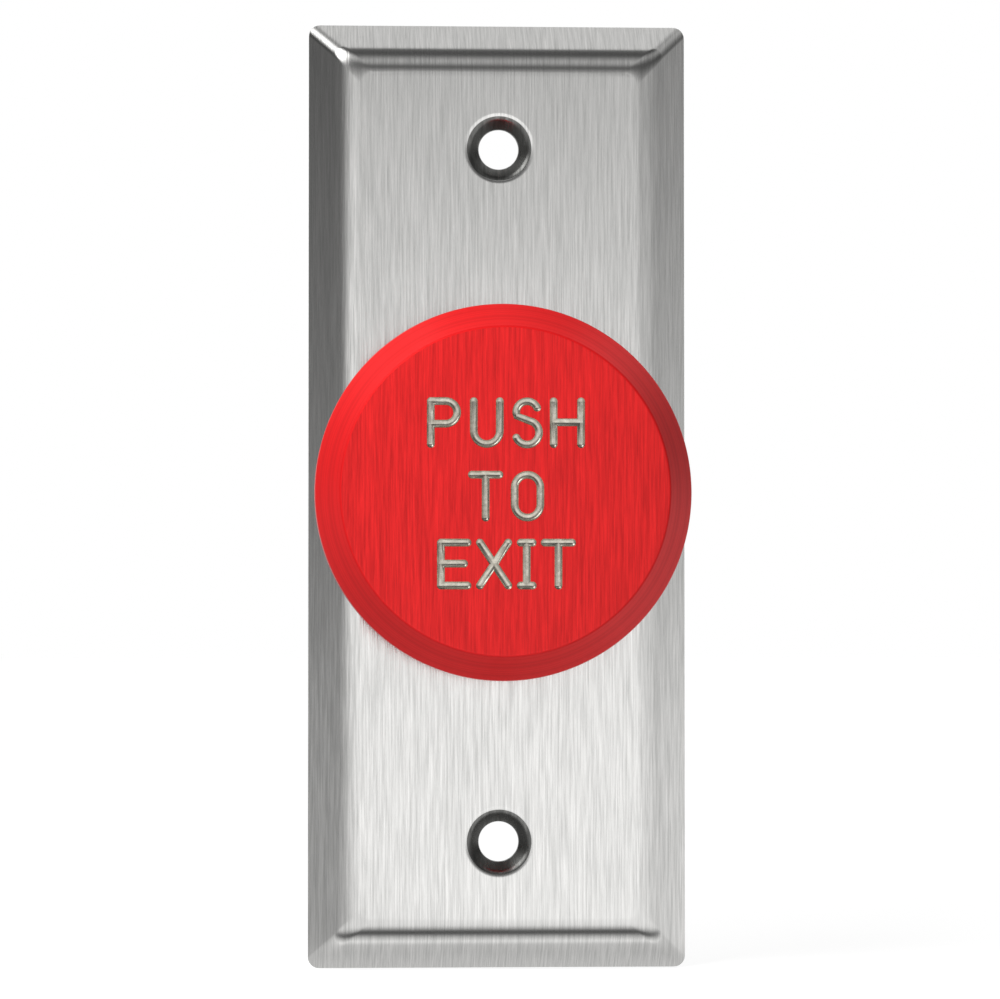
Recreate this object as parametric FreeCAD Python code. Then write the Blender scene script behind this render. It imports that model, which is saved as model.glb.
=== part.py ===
import FreeCAD, Part
import math
import os

# Door exit button: a narrow formed stainless wall plate that carries a large
# round push button, with the plunger, its bushing, the return spring and a
# snap-action switch on a bracket behind the plate.
# Millimetres. X to the right, Z up, +Y into the wall. The origin is the centre
# of the plate on the wall plane, so the front faces -Y.

V = FreeCAD.Vector

# Wall plate
plate_length = 114.3
plate_width = 45.8
plate_depth = 5.4
plate_sheet = 1.0
bevel_run = 4.3
plate_bend = 2.6
plate_corner = 2.1
screw_pitch = 83.34
screw_hole_radius = 2.4
screw_land = 0.7
countersink_depth = 1.5
countersink_half_angle = 41.0
dimple_roll = 2.4

# Push button
cap_radius = 22.225
cap_height = 9.5
cap_gap = 5.0
chamfer_run = 2.925
chamfer_depth = 4.5
skirt_wall = 3.2
cap_recess = 4.0
hub_radius = 8.5
spring_pocket_depth = 2.6
crown_thickness = 1.9
cap_edge_break = 0.4
button_travel = 3.0

# Bushing and the stack that clamps it in the plate
barrel_radius = 7.9375
flange_inset = 0.1
flange_thickness = 1.6
gasket_thickness = 0.6
gasket_inset = 0.5
counterbore_radius = 5.4
counterbore_depth = 5.6
stop_washer_thickness = 0.8
lock_washer_inset = 0.2
lock_washer_thickness = 0.8
lock_washer_band = 1.4
lock_tooth_width = 2.2
lock_tooth_count = 12
nut_wall = 3.1625
nut_thickness = 4.0
barrel_reach = 2.0

# Plunger, its retainer and the return spring
stem_radius = 3.175
stem_tail = 3.0
tip_radius = 4.0
groove_depth = 0.6
ring_thickness = 0.8
ring_radius = 5.6
ring_band = 1.5
ring_mouth = 4.6
ring_prong_width = 1.8
thrust_washer_thickness = 0.6
thrust_washer_radius = 6.4
spring_wire = 0.9
spring_radius = 4.4
spring_turns = 4.5
spring_sides = 8

# Switch bracket
bracket_sheet = 1.2
bracket_nut_room = 0.9
bracket_bend = 1.0
bracket_foot_margin = 1.2
bracket_margin = 4.4
bracket_corner = 3.0

# Snap-action switch
case_length = 27.8
case_height = 15.9
case_thickness = 10.3
case_wall = 1.4
case_corner = 1.2
cover_thickness = 1.8
case_hole_radius = 1.55
case_hole_inset = 2.8
boss_wall = 1.25
lever_arm = 22.0
pin_arm = 12.0
hinge_setback = 2.0
hinge_pin_radius = 0.6
lug_radius = 1.6
lug_gap = 6.4
lever_sheet = 0.55
lever_width = 4.6
lever_overhang = 2.6
lever_round = 1.0
lever_clearance = 0.35
pin_radius = 1.5
pin_dome = 1.8
pin_collar = 0.8
pin_collar_thickness = 1.6
pin_foot_radius = 1.0
pin_foot_ease = 0.4
blade_sheet = 0.3
blade_width = 4.0
blade_pivot_inset = 6.0
blade_eye_radius = 0.35
contact_offset = 6.0
contact_travel = 0.8
contact_radius = 1.4
contact_head = 0.6
contact_ease = 0.2
contact_shank = 0.75
terminal_sheet = 0.8
terminal_width = 4.75
terminal_reach = 7.9
terminal_hole_radius = 0.8
terminal_point = 1.2
common_inset = 8.8
shelf_gap = 0.5

# Fasteners through the bracket and the switch
screw_radius = 1.42
screw_head_radius = 2.8
screw_head_height = 1.7
screw_head_ease = 0.8
screw_point = 0.3
spacer_wall = 1.0
small_nut_flats = 6.35
small_nut_thickness = 2.4
spring_washer_thickness = 0.7
spring_washer_wall = 0.95
screw_end = 1.2

# Clearances
running_fit = 0.05
free_fit = 0.15
stop_gap = 0.05
lever_gap = 0.15
pin_gap = 0.12
guide_gap = 0.15
overrun = 1.0

# Places along Y, from the wall plane
face_front = -plate_depth
face_back = face_front + plate_sheet
flange_back = face_front - gasket_thickness
flange_front = flange_back - flange_thickness
stop_front = flange_front - stop_washer_thickness
hub_back = stop_front - button_travel - stop_gap
cap_back = face_front - cap_gap
cap_front = cap_back - cap_height
recess_floor = cap_back - cap_recess
pocket_floor = hub_back - spring_pocket_depth
stem_front = cap_front + crown_thickness
counterbore_floor = flange_front + counterbore_depth
bracket_back = face_back + bracket_sheet
lock_washer_back = bracket_back + lock_washer_thickness
nut_back = lock_washer_back + nut_thickness
barrel_back = nut_back + barrel_reach
thrust_front = barrel_back + stop_gap
thrust_back = thrust_front + thrust_washer_thickness
ring_back = thrust_back + ring_thickness
stem_tip = ring_back + stem_tail
lever_front = stem_tip + button_travel + lever_gap
lever_back = lever_front + lever_sheet
case_front = lever_back + lever_clearance
case_back = case_front + case_height

# Flange, washer and bracket, sized by the big nut
nut_flat = barrel_radius + nut_wall
nut_corner = 2 * nut_flat / math.sqrt(3)
flange_radius = nut_flat - flange_inset
lock_washer_radius = nut_flat - lock_washer_inset
bracket_inside = nut_flat + bracket_nut_room
bracket_foot = nut_corner + bracket_foot_margin

# Lever, push pin and case of the switch
eye_radius = hinge_pin_radius + running_fit + lever_sheet
pivot = V(0, lever_back - eye_radius, lever_arm)
lever_swing = math.degrees(button_travel / lever_arm)
pin_travel = button_travel * pin_arm / lever_arm
pin_height = lever_arm - pin_arm
pin_tip = lever_back + pin_gap - pin_travel
case_top = lever_arm + hinge_setback
case_bottom = case_top - case_length
case_left = -case_thickness / 2
case_right = case_thickness / 2
cover_left = case_right - cover_thickness
boss_radius = case_hole_radius + boss_wall
upper_hole = V(0, case_back - case_hole_inset, case_top - case_hole_inset)
lower_hole = V(0, case_front + case_hole_inset, case_bottom + case_hole_inset)

# Contacts of the switch, one behind the other from the front
closed_front = lower_hole.y + boss_radius + free_fit
closed_contact_front = closed_front + terminal_sheet
moving_front = closed_contact_front + contact_head + pin_gap
blade_front = moving_front + contact_head
blade_back = blade_front + blade_sheet
moving_back = blade_back + contact_head
open_contact_front = moving_back + contact_travel + pin_gap
open_front = open_contact_front + contact_head
contact_height = pin_height - contact_offset
blade_pivot_height = case_top - blade_pivot_inset
blade_arm = blade_pivot_height - contact_height
blade_pin_travel = contact_travel * (blade_pivot_height - pin_height) / blade_arm
common_low = case_top - common_inset
pin_foot = blade_front - pin_gap - pin_travel + blade_pin_travel


def outline(corners, place, rounded=True):
    """Closed flat outline through (u, v, corner size) points, put in space by place(u, v)."""
    points = [V(u, v, 0) for u, v, radius in corners]
    stretches = []
    for index, (u, v, radius) in enumerate(corners):
        here = points[index]
        back = (points[index - 1] - here).normalize()
        ahead = (points[(index + 1) % len(points)] - here).normalize()
        half = back.getAngle(ahead) / 2
        reach = radius / math.tan(half)
        inward = (back + ahead).normalize() if radius else V(0, 0, 0)
        middle = here + inward * (radius / math.sin(half) - radius)
        stretches.append((here + back * reach, middle, here + ahead * reach))
    edges = []
    for index, (start, middle, end) in enumerate(stretches):
        start_3d, middle_3d, end_3d = [place(p.x, p.y) for p in (start, middle, end)]
        if start.distanceToPoint(end) > 1e-6:
            corner = Part.Arc(start_3d, middle_3d, end_3d) if rounded else Part.LineSegment(start_3d, end_3d)
            edges.append(corner.toShape())
        following = stretches[(index + 1) % len(stretches)][0]
        if end.distanceToPoint(following) > 1e-6:
            edges.append(Part.LineSegment(end_3d, place(following.x, following.y)).toShape())
    return Part.Wire(edges)


def turned(corners, centre=V(0, 0, 0), rounded=False):
    """Body of revolution about a line along Y through centre, from (radius, y, corner size) points."""
    profile = Part.Face(outline(corners, lambda radius, y: V(radius, y, 0), rounded))
    body = profile.revolve(V(0, 0, 0), V(0, 1, 0), 360)
    body.translate(V(centre.x, 0, centre.z))
    return body


def rod_y(radius, start, end, centre=V(0, 0, 0)):
    """Cylinder along Y."""
    return Part.makeCylinder(radius, end - start, V(centre.x, start, centre.z), V(0, 1, 0))


def rod_x(radius, start, end, centre):
    """Cylinder along X through the height and depth of centre."""
    return Part.makeCylinder(radius, end - start, V(start, centre.y, centre.z), V(1, 0, 0))


def block(x, y, z):
    """Box from three (low, high) pairs."""
    return Part.makeBox(x[1] - x[0], y[1] - y[0], z[1] - z[0], V(x[0], y[0], z[0]))


def slab_x(corners, left, right):
    """Plate of (z, y, rounding) outline between two places along X."""
    face = Part.Face(outline(corners, lambda z, y: V(left, y, z)))
    return face.extrude(V(right - left, 0, 0))


def slab_y(corners, front, back):
    """Plate of (x, z, rounding) outline between two places along Y."""
    face = Part.Face(outline(corners, lambda x, z: V(x, front, z)))
    return face.extrude(V(0, back - front, 0))


def washer(inner, outer, front, back):
    """Flat ring on the button's axis."""
    return turned([(inner, front, 0), (outer, front, 0), (outer, back, 0), (inner, back, 0)])


def domed_rod(radius, dome_radius, flat_end, tip):
    """Rod on the button's axis with one flat end and one end domed to a point of rest at tip."""
    inward = math.copysign(1, flat_end - tip)
    shoulder_drop = dome_radius - math.sqrt(dome_radius ** 2 - radius ** 2)
    halfway_drop = dome_radius - math.sqrt(dome_radius ** 2 - (radius / 2) ** 2)
    shoulder = V(radius, tip + inward * shoulder_drop, 0)
    dome = Part.Arc(shoulder, V(radius / 2, tip + inward * halfway_drop, 0), V(0, tip, 0)).toShape()
    corners = [V(0, tip, 0), V(0, flat_end, 0), V(radius, flat_end, 0), shoulder]
    sides = [Part.LineSegment(a, b).toShape() for a, b in zip(corners, corners[1:])]
    return Part.Face(Part.Wire([dome] + sides)).revolve(V(0, 0, 0), V(0, 1, 0), 360)


def save(name, shape):
    """Write one node."""
    shape.exportStep("parts/" + name + ".step")


def bevelled_profile(half, depth, run):
    """Corners of a bar's cross-section that narrows by run from the wall plane to its front."""
    return [(-half, 0, 0), (half, 0, 0), (half - run, -depth, 0), (run - half, -depth, 0)]


def bevelled_block(half_width, half_length, depth, run, corner, bend):
    """Block that narrows by run from the wall plane to its front, with rounded mitres and front."""
    upright = Part.Face(outline(bevelled_profile(half_width, depth, run), lambda x, y: V(x, y, -half_length)))
    upright = upright.extrude(V(0, 0, 2 * half_length))
    body = upright.common(slab_x(bevelled_profile(half_length, depth, run), -half_width, half_width))
    boxes = [(edge, edge.BoundBox) for edge in body.Edges]
    mitres = [edge for edge, box in boxes if box.XLength * box.YLength * box.ZLength > 1e-6]
    body = body.makeFillet(corner, mitres)
    folds = [edge for edge in body.Edges if edge.BoundBox.YMax < -depth + 1e-4]
    return body.makeFillet(bend, folds)


def dimple(height):
    """Formed countersink: the sheet rolls down a cone to a screw hole with a short straight wall."""
    half = math.radians(countersink_half_angle)
    turn = math.pi / 2 - half
    cone_end = face_front + countersink_depth
    cone_top = screw_hole_radius + countersink_depth * math.tan(half)
    land_end = cone_end + screw_land
    cone_shift = plate_sheet / math.cos(half)
    under_cone_top = screw_hole_radius + (cone_end - face_back) * math.tan(half) + cone_shift
    under_cone_end = screw_hole_radius + (cone_end - land_end) * math.tan(half) + cone_shift
    roll_radius = cone_top + dimple_roll * math.tan(turn / 2)
    profile = [(roll_radius, face_front, 0), (cone_top, face_front, dimple_roll)]
    profile += [(screw_hole_radius, cone_end, 0), (screw_hole_radius, land_end, 0)]
    profile += [(under_cone_end, land_end, 0), (under_cone_top, face_back, dimple_roll - plate_sheet)]
    profile += [(roll_radius, face_back, 0)]
    return turned(profile, V(0, 0, height), rounded=True), roll_radius


def face_plate():
    """Formed sheet: flat face, bevelled edges down to the wall, two dimples and the bushing hole."""
    slope = math.atan2(plate_depth, bevel_run)
    rim = plate_sheet / math.sin(slope)
    inner_depth = plate_depth - plate_sheet
    inner_run = inner_depth * bevel_run / plate_depth
    half_width = plate_width / 2
    half_length = plate_length / 2
    outside = bevelled_block(half_width, half_length, plate_depth, bevel_run, plate_corner, plate_bend)
    inside = bevelled_block(half_width - rim, half_length - rim, inner_depth, inner_run,
                            plate_corner - plate_sheet, plate_bend - plate_sheet)
    sheet = outside.cut(inside)
    for height in (-screw_pitch / 2, screw_pitch / 2):
        formed, roll_radius = dimple(height)
        sheet = sheet.cut(rod_y(roll_radius, face_front - overrun, face_back + overrun, V(0, 0, height)))
        sheet = sheet.fuse(formed)
    hole = rod_y(barrel_radius + free_fit, face_front - overrun, face_back + overrun)
    return sheet.cut(hole).removeSplitter()


def button_cap():
    """Turned knob: brushed face, wide chamfer, skirt, and a hub with the spring pocket behind."""
    face_radius = cap_radius - chamfer_run
    chamfer_back = cap_front + chamfer_depth
    skirt_inside = cap_radius - skirt_wall
    bore = stem_radius + running_fit
    profile = [(0, cap_front, 0), (face_radius, cap_front, cap_edge_break)]
    profile += [(cap_radius, chamfer_back, 0), (cap_radius, cap_back, cap_edge_break)]
    profile += [(skirt_inside, cap_back, 0), (skirt_inside, recess_floor, 0)]
    profile += [(hub_radius, recess_floor, 0), (hub_radius, hub_back, cap_edge_break)]
    profile += [(counterbore_radius, hub_back, 0), (counterbore_radius, pocket_floor, 0)]
    profile += [(bore, pocket_floor, 0), (bore, stem_front, 0), (0, stem_front, 0)]
    return turned(profile)


def plunger_stem():
    """Ground rod with a ring groove near its domed end; its front end is screwed into the cap."""
    rod = domed_rod(stem_radius, tip_radius, stem_front + running_fit, stem_tip)
    groove = washer(stem_radius - groove_depth, stem_radius + overrun, thrust_back, ring_back + running_fit)
    return rod.cut(groove)


def threaded_bushing():
    """Flanged barrel: spring counterbore in front, guide bore behind."""
    bore = stem_radius + running_fit
    profile = [(bore, counterbore_floor, 0), (counterbore_radius, counterbore_floor, 0)]
    profile += [(counterbore_radius, flange_front, 0), (flange_radius, flange_front, cap_edge_break)]
    profile += [(flange_radius, flange_back, 0), (barrel_radius, flange_back, 0)]
    profile += [(barrel_radius, barrel_back, cap_edge_break), (bore, barrel_back, 0)]
    return turned(profile)


def bushing_gasket():
    """Flat seal between the flange and the plate."""
    return washer(barrel_radius + free_fit, flange_radius - gasket_inset, flange_back, face_front)


def stop_washer():
    """Cushion on the flange that the hub of the button lands on."""
    return washer(counterbore_radius + free_fit, hub_radius, stop_front, flange_front)


def lock_washer():
    """Internal-tooth washer under the big nut."""
    band_inside = lock_washer_radius - lock_washer_band
    tooth_inside = barrel_radius + running_fit
    body = washer(band_inside, lock_washer_radius, bracket_back, lock_washer_back)
    half = lock_tooth_width / 2
    span = (0, band_inside + lock_washer_band / 2)
    for index in range(lock_tooth_count):
        tooth = block(span, (bracket_back, lock_washer_back), (-half, half))
        tooth.rotate(V(0, 0, 0), V(0, 1, 0), index * 360 / lock_tooth_count)
        body = body.fuse(tooth)
    bore = rod_y(tooth_inside, bracket_back - overrun, lock_washer_back + overrun)
    return body.cut(bore).removeSplitter()


def hex_nut(across_flats, front, back, bore_radius):
    """Plain hexagon nut along Y, corners to +Z and -Z."""
    corner = across_flats / math.sqrt(3)
    angles = [math.radians(90 + 60 * step) for step in range(6)]
    body = slab_y([(corner * math.cos(a), corner * math.sin(a), 0) for a in angles], front, back)
    return body.cut(rod_y(bore_radius, front - overrun, back + overrun))


def bushing_nut():
    """Big thin nut that clamps the plate and the bracket to the flange, its back corners chamfered."""
    chamfer_front = nut_back - (nut_corner - nut_flat) / math.sqrt(3)
    envelope = turned([(0, lock_washer_back, 0), (nut_corner, lock_washer_back, 0),
                       (nut_corner, chamfer_front, 0), (nut_flat, nut_back, 0), (0, nut_back, 0)])
    nut = hex_nut(2 * nut_flat, lock_washer_back, nut_back, barrel_radius + running_fit)
    return nut.common(envelope)


def thrust_washer():
    """Washer between the retaining ring and the back of the bushing."""
    return washer(stem_radius + running_fit, thrust_washer_radius, thrust_front, thrust_back)


def retaining_ring():
    """E-shaped clip: an open band with three prongs that reach the groove of the stem."""
    band_inside = ring_radius - ring_band
    seat = stem_radius - groove_depth + running_fit
    body = washer(band_inside, ring_radius, thrust_back, ring_back)
    half = ring_prong_width / 2
    for angle in (0, 90, 180):
        prong = block((0, band_inside + ring_band / 2), (thrust_back, ring_back), (-half, half))
        prong.rotate(V(0, 0, 0), V(0, 1, 0), -angle)
        body = body.fuse(prong)
    through = (thrust_back - overrun, ring_back + overrun)
    mouth = block((-ring_mouth / 2, ring_mouth / 2), through, (-ring_radius - overrun, 0))
    return body.cut(mouth).cut(rod_y(seat, *through)).removeSplitter()


def return_spring():
    """Coil between the pocket of the hub and the counterbore of the bushing."""
    start = pocket_floor + running_fit + spring_wire / 2
    end = counterbore_floor - running_fit - spring_wire / 2
    path = Part.makeHelix((end - start) / spring_turns, end - start, spring_radius)
    reach = spring_wire / 2 / math.cos(math.pi / spring_sides)
    angles = [2 * math.pi * (side + 0.5) / spring_sides for side in range(spring_sides)]
    points = [V(spring_radius + reach * math.cos(a), 0, reach * math.sin(a)) for a in angles]
    coil = Part.Wire(path).makePipeShell([Part.makePolygon(points + points[:1])], True, True)
    coil.rotate(V(0, 0, 0), V(1, 0, 0), -90)
    coil.translate(V(0, start, 0))
    return coil


def switch_bracket():
    """Channel of bent sheet: its foot is clamped behind the plate and its legs hold the switch."""
    outside = bracket_inside + bracket_sheet
    back = upper_hole.y + bracket_margin
    top = upper_hole.z + bracket_margin
    bottom = lower_hole.z - bracket_margin
    section = [(-outside, back, 0), (-outside, face_back, bracket_bend + bracket_sheet)]
    section += [(outside, face_back, bracket_bend + bracket_sheet), (outside, back, 0)]
    section += [(bracket_inside, back, 0), (bracket_inside, bracket_back, bracket_bend)]
    section += [(-bracket_inside, bracket_back, bracket_bend), (-bracket_inside, back, 0)]
    channel = Part.Face(outline(section, lambda x, y: V(x, y, -bracket_foot)))
    channel = channel.extrude(V(0, 0, bracket_foot + top))
    side = [(-bracket_foot, face_back, 0), (bracket_foot, face_back, 0)]
    side += [(bracket_foot, bracket_back + bracket_bend, bracket_corner)]
    side += [(top, lower_hole.y, bracket_corner), (top, back, bracket_corner)]
    side += [(upper_hole.z - bracket_margin, back, bracket_corner)]
    side += [(bottom, lower_hole.y + bracket_margin, bracket_corner)]
    side += [(bottom, bracket_back + bracket_bend, bracket_corner)]
    side += [(-bracket_foot, bracket_back + bracket_bend, 0)]
    body = channel.common(slab_x(side, -outside - overrun, outside + overrun))
    body = body.cut(rod_y(barrel_radius + free_fit, face_back - overrun, bracket_back + overrun))
    for hole in (upper_hole, lower_hole):
        body = body.cut(rod_x(screw_radius + free_fit, -outside - overrun, outside + overrun, hole))
    return body


def case_outline(shrink, rounding):
    """Side outline of the switch, drawn in by shrink all round."""
    low = case_bottom + shrink
    high = case_top - shrink
    front = case_front + shrink
    back = case_back - shrink
    return [(low, front, rounding), (high, front, rounding), (high, back, rounding), (low, back, rounding)]


def hinge_lug(left, right):
    """Ear on the front of the switch that holds the hinge pin of the lever."""
    ear = rod_x(lug_radius, left, right, pivot)
    root = block((left, right), (pivot.y, case_front + case_wall / 2),
                 (pivot.z - lug_radius, pivot.z + lug_radius))
    return ear.fuse(root)


def terminal_slot(front):
    """Way through the lower end wall for a flat terminal."""
    half = terminal_width / 2 + running_fit
    return block((-half, half), (front - running_fit, front + terminal_sheet + running_fit),
                 (case_bottom - overrun, case_bottom + case_wall + overrun))


def common_slot():
    """Way through the back wall for the common terminal."""
    half = terminal_width / 2 + running_fit
    return block((-half, half), (case_back - case_wall - overrun, case_back + overrun),
                 (common_low - running_fit, common_low + terminal_sheet + running_fit))


def switch_case():
    """Moulded half with the cavity, two screw bosses, the pin's bore, slots and one hinge ear."""
    body = slab_x(case_outline(0, case_corner), case_left, cover_left)
    cavity = slab_x(case_outline(case_wall, case_corner / 2), case_left + case_wall, cover_left + overrun)
    body = body.cut(cavity)
    for hole in (upper_hole, lower_hole):
        boss = rod_x(boss_radius, case_left + case_wall / 2, cover_left, hole)
        body = body.fuse(boss.common(slab_x(case_outline(0, case_corner), case_left, cover_left)))
    body = body.fuse(hinge_lug(case_left, -lug_gap / 2))
    for hole in (upper_hole, lower_hole):
        body = body.cut(rod_x(case_hole_radius, case_left - overrun, case_right + overrun, hole))
    body = body.cut(rod_x(hinge_pin_radius + running_fit, case_left + case_wall / 2, 0, pivot))
    wall = (case_front - overrun, case_front + case_wall + overrun)
    body = body.cut(rod_y(pin_radius + running_fit, *wall, V(0, 0, pin_height)))
    body = body.cut(terminal_slot(closed_front)).cut(terminal_slot(open_front)).cut(common_slot())
    return body.removeSplitter()


def switch_cover():
    """Flat moulded lid of the switch with the other hinge ear."""
    body = slab_x(case_outline(0, case_corner), cover_left, case_right)
    body = body.fuse(hinge_lug(cover_left, case_right))
    for hole in (upper_hole, lower_hole):
        body = body.cut(rod_x(case_hole_radius, cover_left - overrun, case_right + overrun, hole))
    blind = rod_x(hinge_pin_radius + running_fit, 0, case_right - case_wall / 2, pivot)
    return body.cut(blind).removeSplitter()


def lever_hinge_pin():
    """Pin of the lever, held between the two ears."""
    reach = case_thickness / 2 - case_wall / 2 - running_fit
    return rod_x(hinge_pin_radius, -reach, reach, pivot)


def switch_lever():
    """Spring-steel lever with a rolled eye, drawn where it is pressed and then swung out to rest."""
    half_hinge = lug_gap / 2 - guide_gap
    half = lever_width / 2
    shoulder = lever_arm - 2 * eye_radius
    neck = shoulder - 2 * eye_radius
    corners = [(-half_hinge, lever_arm, 0), (-half_hinge, shoulder, lever_round)]
    corners += [(-half, neck, lever_round), (-half, -lever_overhang, lever_round)]
    corners += [(half, -lever_overhang, lever_round), (half, neck, lever_round)]
    corners += [(half_hinge, shoulder, lever_round), (half_hinge, lever_arm, 0)]
    body = slab_y(corners, lever_front, lever_back)
    body = body.fuse(rod_x(eye_radius, -half_hinge, half_hinge, pivot))
    eye = rod_x(hinge_pin_radius + running_fit, -half_hinge - overrun, half_hinge + overrun, pivot)
    body = body.cut(eye)
    body.rotate(pivot, V(1, 0, 0), -lever_swing)
    return body.removeSplitter()


def switch_pin():
    """Push pin of the switch: domed head, shank, a collar inside the case and a thin foot."""
    collar_front = case_front + case_wall + running_fit
    collar_back = collar_front + pin_collar_thickness
    collar_radius = pin_radius + pin_collar
    profile = [(0, collar_front, 0), (collar_radius, collar_front, 0), (collar_radius, collar_back, 0)]
    profile += [(pin_foot_radius, collar_back, 0), (pin_foot_radius, pin_foot, pin_foot_ease)]
    profile += [(0, pin_foot, 0)]
    pin = domed_rod(pin_radius, pin_dome, collar_back, pin_tip).fuse(turned(profile))
    pin.translate(V(0, 0, pin_height))
    return pin.removeSplitter()


def tab_outline(end, root):
    """Outline of a flat blade terminal from its root to its pointed end, across X."""
    half = terminal_width / 2
    neck = end + math.copysign(terminal_point, root - end)
    return [(-half, root, 0), (-half, neck, 0), (-half + terminal_point, end, 0),
            (half - terminal_point, end, 0), (half, neck, 0), (half, root, 0)]


def flat_terminal(front):
    """Straight blade terminal through the lower end wall, with a hole in its tab."""
    end = case_bottom - terminal_reach
    body = slab_y(tab_outline(end, contact_height + contact_radius), front, front + terminal_sheet)
    eye = V(0, 0, end + terminal_reach / 2)
    return body.cut(rod_y(terminal_hole_radius, front - overrun, front + terminal_sheet + overrun, eye))


def common_terminal():
    """Bent terminal: a tab out of the back wall, a shelf behind the blade and a post at its root."""
    shelf_front = blade_back + shelf_gap
    shelf_back = shelf_front + terminal_sheet
    post_low = blade_pivot_height + blade_eye_radius + pin_gap
    end = case_back + terminal_reach
    half = terminal_width / 2
    tab = Part.Face(outline(tab_outline(end, shelf_front), lambda x, y: V(x, y, common_low)))
    body = tab.extrude(V(0, 0, terminal_sheet))
    body = body.fuse(block((-half, half), (shelf_front, shelf_back), (common_low, post_low + terminal_sheet)))
    body = body.fuse(block((-half, half), (blade_front - terminal_sheet, shelf_back),
                           (post_low, post_low + terminal_sheet)))
    eye = Part.makeCylinder(terminal_hole_radius, terminal_sheet + 2 * overrun,
                            V(0, end - terminal_reach / 2, common_low - overrun), V(0, 0, 1))
    return body.cut(eye).removeSplitter()


def contact_blade():
    """Thin spring blade, rolled at its root by the common terminal's post, with a hole for its contact."""
    half = blade_width / 2
    low = contact_height - contact_radius
    corners = [(-half, low, lever_round), (half, low, lever_round)]
    corners += [(half, blade_pivot_height, 0), (-half, blade_pivot_height, 0)]
    body = slab_y(corners, blade_front, blade_back)
    root = V(0, (blade_front + blade_back) / 2, blade_pivot_height)
    body = body.fuse(rod_x(blade_eye_radius, -half, half, root))
    rivet = V(0, 0, contact_height)
    return body.cut(rod_y(contact_shank + running_fit, blade_front - overrun, blade_back + overrun, rivet))


def moving_contact():
    """Two-headed contact rivet in the end of the blade."""
    profile = [(0, moving_front, 0), (contact_radius, moving_front, contact_ease)]
    profile += [(contact_radius, blade_front, 0), (contact_shank, blade_front, 0)]
    profile += [(contact_shank, blade_back, 0), (contact_radius, blade_back, 0)]
    profile += [(contact_radius, moving_back, contact_ease), (0, moving_back, 0)]
    return turned(profile, V(0, 0, contact_height))


def fixed_contacts():
    """The two contact heads on the flat terminals."""
    centre = V(0, 0, contact_height)
    closed = rod_y(contact_radius, closed_contact_front, closed_contact_front + contact_head, centre)
    opened = rod_y(contact_radius, open_contact_front, open_front, centre)
    return Part.makeCompound([closed, opened])


def on_both_screws(make):
    """The same small part on the upper and the lower bracket screw."""
    pieces = []
    for hole in (upper_hole, lower_hole):
        for piece in make():
            piece.translate(V(0, hole.y, hole.z))
            pieces.append(piece)
    return Part.makeCompound(pieces)


def turned_to_x(shape, start):
    """Part drawn along Y from the origin, laid along X from start."""
    shape.rotate(V(0, 0, 0), V(0, 0, 1), -90)
    shape.translate(V(start, 0, 0))
    return shape


def bracket_screw():
    """Pan-head screw across both legs and the switch, head on the left."""
    outside = bracket_inside + bracket_sheet
    length = 2 * outside + spring_washer_thickness + small_nut_thickness + screw_end
    profile = [(0, -screw_head_height, 0), (screw_head_radius, -screw_head_height, screw_head_ease)]
    profile += [(screw_head_radius, 0, 0), (screw_radius, 0, 0)]
    profile += [(screw_radius, length, screw_point), (0, length, 0)]
    return [turned_to_x(turned(profile), -outside)]


def switch_spacer():
    """Two plain tubes that centre the switch between the legs."""
    inner = screw_radius + free_fit
    outer = inner + spacer_wall
    tubes = []
    for start, end in ((-bracket_inside, case_left), (case_right, bracket_inside)):
        tube = washer(inner, outer, 0, end - start)
        tubes.append(turned_to_x(tube, start))
    return tubes


def spring_washer():
    """Split spring washer under the small nut."""
    inner = screw_radius + free_fit
    ring = washer(inner, inner + spring_washer_wall, 0, spring_washer_thickness)
    through = (-overrun, spring_washer_thickness + overrun)
    split = block((0, inner + spring_washer_wall + overrun), through, (-free_fit, free_fit))
    return [turned_to_x(ring.cut(split), bracket_inside + bracket_sheet)]


def small_nut():
    """Small hexagon nut."""
    nut = hex_nut(small_nut_flats, 0, small_nut_thickness, screw_radius + running_fit)
    return [turned_to_x(nut, bracket_inside + bracket_sheet + spring_washer_thickness)]


os.makedirs("parts", exist_ok=True)
save("face_plate", face_plate())
save("button_cap", button_cap())
save("plunger_stem", plunger_stem())
save("threaded_bushing", threaded_bushing())
save("bushing_gasket", bushing_gasket())
save("stop_washer", stop_washer())
save("lock_washer", lock_washer())
save("bushing_nut", bushing_nut())
save("thrust_washer", thrust_washer())
save("retaining_ring", retaining_ring())
save("return_spring", return_spring())
save("switch_bracket", switch_bracket())
save("switch_case", switch_case())
save("switch_cover", switch_cover())
save("lever_hinge_pin", lever_hinge_pin())
save("switch_lever", switch_lever())
save("switch_pin", switch_pin())
save("common_terminal", common_terminal())
save("normally_open_terminal", flat_terminal(open_front))
save("normally_closed_terminal", flat_terminal(closed_front))
save("fixed_contacts", fixed_contacts())
save("contact_blade", contact_blade())
save("moving_contact", moving_contact())
save("bracket_screws", on_both_screws(bracket_screw))
save("switch_spacers", on_both_screws(switch_spacer))
save("bracket_spring_washers", on_both_screws(spring_washer))
save("bracket_nuts", on_both_screws(small_nut))
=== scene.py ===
import math

import bmesh
import bpy
from mathutils import Matrix, Vector


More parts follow.
